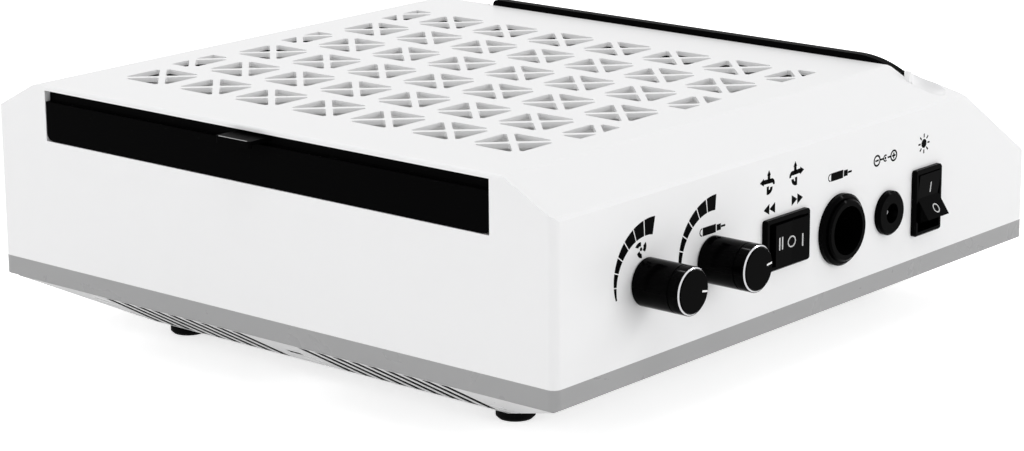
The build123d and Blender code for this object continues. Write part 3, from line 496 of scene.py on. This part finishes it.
def add_scale(name, scale):
    """Segments that widen as the speed rises."""
    bm = bmesh.new()
    sweep = scale["start"] - scale["end"]
    pitch = (sweep + SCALE_GAP) / SCALE_SEGMENTS
    widening = (scale["thick"] - scale["thin"]) / sweep
    for segment in range(SCALE_SEGMENTS):
        first = segment * pitch
        last = first + pitch - SCALE_GAP
        outer = (scale["thin"] + widening * first, scale["thin"] + widening * last)
        inner = (scale["inner"], scale["inner"])
        add_arc(bm, (0, 0), inner, outer, scale["start"] - first, scale["start"] - last, SCALE_STEPS)
    centre = joint_place[scale["joint"]]
    print_on_flank(bm, name, centre.y, centre.z)


# Pictograms of the flank; each is drawn round its own middle


def draw_fan(bm, radius):
    """Three blades round a hub."""
    add_disc(bm, (0, 0), 0.2 * radius, 16)
    for blade in range(3):
        add_arc(bm, (0, 0), (0.28 * radius, 0.5 * radius), (0.75 * radius, radius),
                90 + 120 * blade, 160 + 120 * blade, 6)


def draw_handpiece(bm, length):
    """Drill handpiece: grip, nose and bit."""
    add_bar(bm, (-0.12 * length, 0), 0.5 * length, 0.2 * length)
    add_bar(bm, (0.24 * length, 0), 0.16 * length, 0.15 * length)
    add_bar(bm, (0.41 * length, 0), 0.16 * length, 0.05 * length)
    add_arc(bm, (-0.39 * length, 0), (0.07 * length,) * 2, (0.1 * length,) * 2, 90, 270, 8)


def draw_polarity(bm, length):
    """Direct-current mark: minus on the sleeve, plus on the centre pin."""
    ring = 0.145 * length
    line = 0.045 * length
    middle = 0.5 * length - ring
    for side in (-1, 1):
        add_ring(bm, (side * middle, 0), ring - line, ring, 24)
        add_bar(bm, (side * middle, 0), ring, line)
        add_bar(bm, (side * 0.155 * length, 0), 0.13 * length, line)
        add_bar(bm, (middle, side * 0.32 * ring), line, 0.38 * ring)
    add_arc(bm, (0, 0), (0.055 * length,) * 2, (0.09 * length,) * 2, 50, 310, 16)
    add_disc(bm, (0, 0), 0.035 * length, 16)


def draw_lamp(bm, radius):
    """Disc with rays."""
    add_disc(bm, (0, 0), 0.45 * radius, 24)
    reach = 0.8 * radius
    for turn in range(0, 360, 45):
        angle = math.radians(turn)
        middle = (reach * math.cos(angle), reach * math.sin(angle))
        add_bar(bm, middle, 0.38 * radius, 0.17 * radius, turn)


def add_point(bm, place, radius, turn):
    """Three-cornered arrow head; turned by 0 it points up, by -90 towards +x."""
    add_disc(bm, place, radius, 3, turn)


def draw_direction(bm, side):
    """Spindle with an arrow that goes round it, towards +x or -x."""
    add_bar(bm, (0, 1.6), 1.25, 2.6)
    add_point(bm, (0, 2.75), 1.05, 0)
    add_bar(bm, (side * 0.9, 0.4), 4.6, 1.4, side * 2)
    add_point(bm, (side * 3.2, 0.45), 1.35, -90 * side)
    add_arc(bm, (-side * 1.4, -0.85), (0.55, 0.7), (1.95, 1.5), 90, 90 + side * 95, 6)
    add_bar(bm, (side * 0.5, -2.4), 1.1, 2.5)
    add_arc(bm, (side * 0.2, -1.5), (0.9, 0.9), (2.1, 2.1), 270, 270 - side * 90, 6)


def draw_twin_points(bm, side):
    """Two arrow heads in a row."""
    for shift in (-1.45, 1.45):
        add_point(bm, (shift, 0), 1.9, -90 * side)


# Drawing, its size or side, and its Y and Z in millimetres
PICTOGRAMS = {
    "fan_mark": (draw_fan, 2.75, -80.2, 58.6),
    "drill_mark": (draw_handpiece, 12.6, -46.9, 57.6),
    "reverse_mark": (draw_direction, -1, -19.4, 66.1),
    "forward_mark": (draw_direction, 1, -6.1, 66.3),
    "reverse_tip": (draw_twin_points, -1, -18.5, 57.9),
    "forward_tip": (draw_twin_points, 1, -5.3, 58.3),
    "socket_mark": (draw_handpiece, 12.8, 17.4, 61.4),
    "inlet_mark": (draw_polarity, 13.0, 42.0, 62.0),
    "lamp_mark": (draw_lamp, 3.2, 63.6, 62.7),
}


def add_pictograms():
    """Pictograms beside the controls of the flank."""
    for name, (draw, size, y, z) in PICTOGRAMS.items():
        bm = bmesh.new()
        draw(bm, size)
        print_on_flank(bm, name, y * MM, z * MM)


# Marks on the knobs and paddles, in millimetres

# Body, ring, joint and angle in degrees
POINTERS = {
    "fan_pointer": ("fan_speed_knob", "fan_knob_ring", "fan_speed", -10),
    "motor_pointer": ("motor_speed_knob", "motor_knob_ring", "motor_speed", 6),
}
POINTER_FROM_AXIS = 4.9
POINTER_LENGTH = 2.4
POINTER_WIDTH = 0.55
STOP_LINE = 0.6
LAMP_LINE = 0.5


def add_pointer(name, body, ring, joint, angle):
    """White line on the face of a knob."""
    bm = bmesh.new()
    add_bar(bm, (POINTER_FROM_AXIS, 0), POINTER_LENGTH, POINTER_WIDTH)
    bmesh.ops.rotate(bm, cent=(0, 0, 0), matrix=Matrix.Rotation(math.radians(angle), 3, "Z"), verts=bm.verts)
    centre = joint_place[joint]
    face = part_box(ring)[1].x - PRINT_SINK * MM
    finish_print(bm, name, body, "white_print", flank_place((face, centre.y, centre.z)))


def draw_two_bars(bm):
    """II of the direction paddle."""
    for x in (-6.2, -4.8):
        add_bar(bm, (x, 0.45), STOP_LINE, 3.85)


def draw_flat_ring(bm):
    """O of the direction paddle."""
    add_ring(bm, (0, 0), 1.6, 2.05, 32, (1.0, 0.86))


def draw_side_bar(bm):
    """I of the direction paddle."""
    add_bar(bm, (5.5, -0.57), STOP_LINE, 3.9)


def draw_lamp_bar(bm):
    """I of the lamp's paddle."""
    add_bar(bm, (0, 0), LAMP_LINE, 3.4)


def draw_lamp_ring(bm):
    """O of the lamp's paddle."""
    add_ring(bm, (0, 0), 1.2, 1.6, 32)


# Drawing, paddle, its joint, spot across, up and out from the joint's middle on the flank, lean in degrees
PADDLE_MARKS = {
    "reverse_stop": (draw_two_bars, "direction_paddle", "direction_rock", (0, 0, 2.9), 0),
    "middle_stop": (draw_flat_ring, "direction_paddle", "direction_rock", (0, 0, 2.83), 0),
    "forward_stop": (draw_side_bar, "direction_paddle", "direction_rock", (0, 0, 2.9), 0),
    "lamp_on": (draw_lamp_bar, "lamp_paddle", "lamp_switch_rock", (0.9, 4.25, 1.7), 6),
    "lamp_off": (draw_lamp_ring, "lamp_paddle", "lamp_switch_rock", (0.9, -2.3, 3.99), -34),
}


def add_paddle_mark(name, draw, paddle, joint, spot, lean):
    """Pale print on a face of a paddle."""
    bm = bmesh.new()
    draw(bm)
    across, up, out = spot
    centre = joint_place[joint]
    point = (FLANK_X + (out - PRINT_SINK) * MM, centre.y + across * MM, centre.z + up * MM)
    place = flank_place(point) @ Matrix.Rotation(math.radians(lean), 4, "X")
    finish_print(bm, name, paddle, "grey_print_and_highlight", place)


# Painted highlight on the edge of the drawer's tab, and painted shade in the cross recesses of the screws under
# the tray, in millimetres

TAB_TIP = 1.0
TAB_HIGHLIGHT_IN = 0.2
TAB_HIGHLIGHT_LENGTH = 11.8
TAB_HIGHLIGHT_WIDTH = 0.35
SCREW_HEAD_RADIUS = 2.8
CROSS_LENGTH = 3.0
CROSS_WIDTH = 0.7


def add_tab_highlight():
    """Painted highlight: a thin grey line along the front top edge of the drawer's tab, where the edge catches the
    light.
    """
    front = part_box("filter_frame")[0].y
    drawer = frame["nodes"]["filter_frame"].data
    tip = [v.co for v in drawer.vertices if v.co.y < front + TAB_TIP * MM]
    middle = (min(co.x for co in tip) + max(co.x for co in tip)) / 2
    top = max(co.z for co in tip) - PRINT_SINK * MM
    bm = bmesh.new()
    add_bar(bm, (0, 0), TAB_HIGHLIGHT_LENGTH, TAB_HIGHLIGHT_WIDTH)
    place = Matrix.Translation((middle, front + TAB_HIGHLIGHT_IN * MM, top))
    finish_print(bm, "painted_tab_highlight", "drawer", "grey_print_and_highlight", place)


def add_screw_recess_shade():
    """Painted shade: a dark cross in the head of each housing screw, standing for the shade in its cross-shaped
    hollow.
    """
    low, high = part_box("housing_screws")
    head = SCREW_HEAD_RADIUS * MM
    arm = (CROSS_LENGTH - CROSS_WIDTH) / 2
    for side_x, x in (("left", low.x + head), ("right", high.x - head)):
        for side_y, y in (("front", low.y + head), ("rear", high.y - head)):
            bm = bmesh.new()
            add_bar(bm, (0, 0), CROSS_LENGTH, CROSS_WIDTH)
            for side in (1, -1):
                add_bar(bm, (0, side * (CROSS_WIDTH + arm) / 2), CROSS_WIDTH, arm)
            place = Matrix.Translation((x, y, low.z - PRINT_SINK * MM))
            finish_print(bm, f"painted_recess_shade_{side_y}_{side_x}", "housing", "black_print_and_shade", place)


add_camera()
light_stage()
paint_nodes()
for scale_name, scale in SCALES.items():
    add_scale(scale_name, scale)
add_pictograms()
for pointer_name, pointer in POINTERS.items():
    add_pointer(pointer_name, *pointer)
for mark_name, mark in PADDLE_MARKS.items():
    add_paddle_mark(mark_name, *mark)
add_tab_highlight()
add_screw_recess_shade()
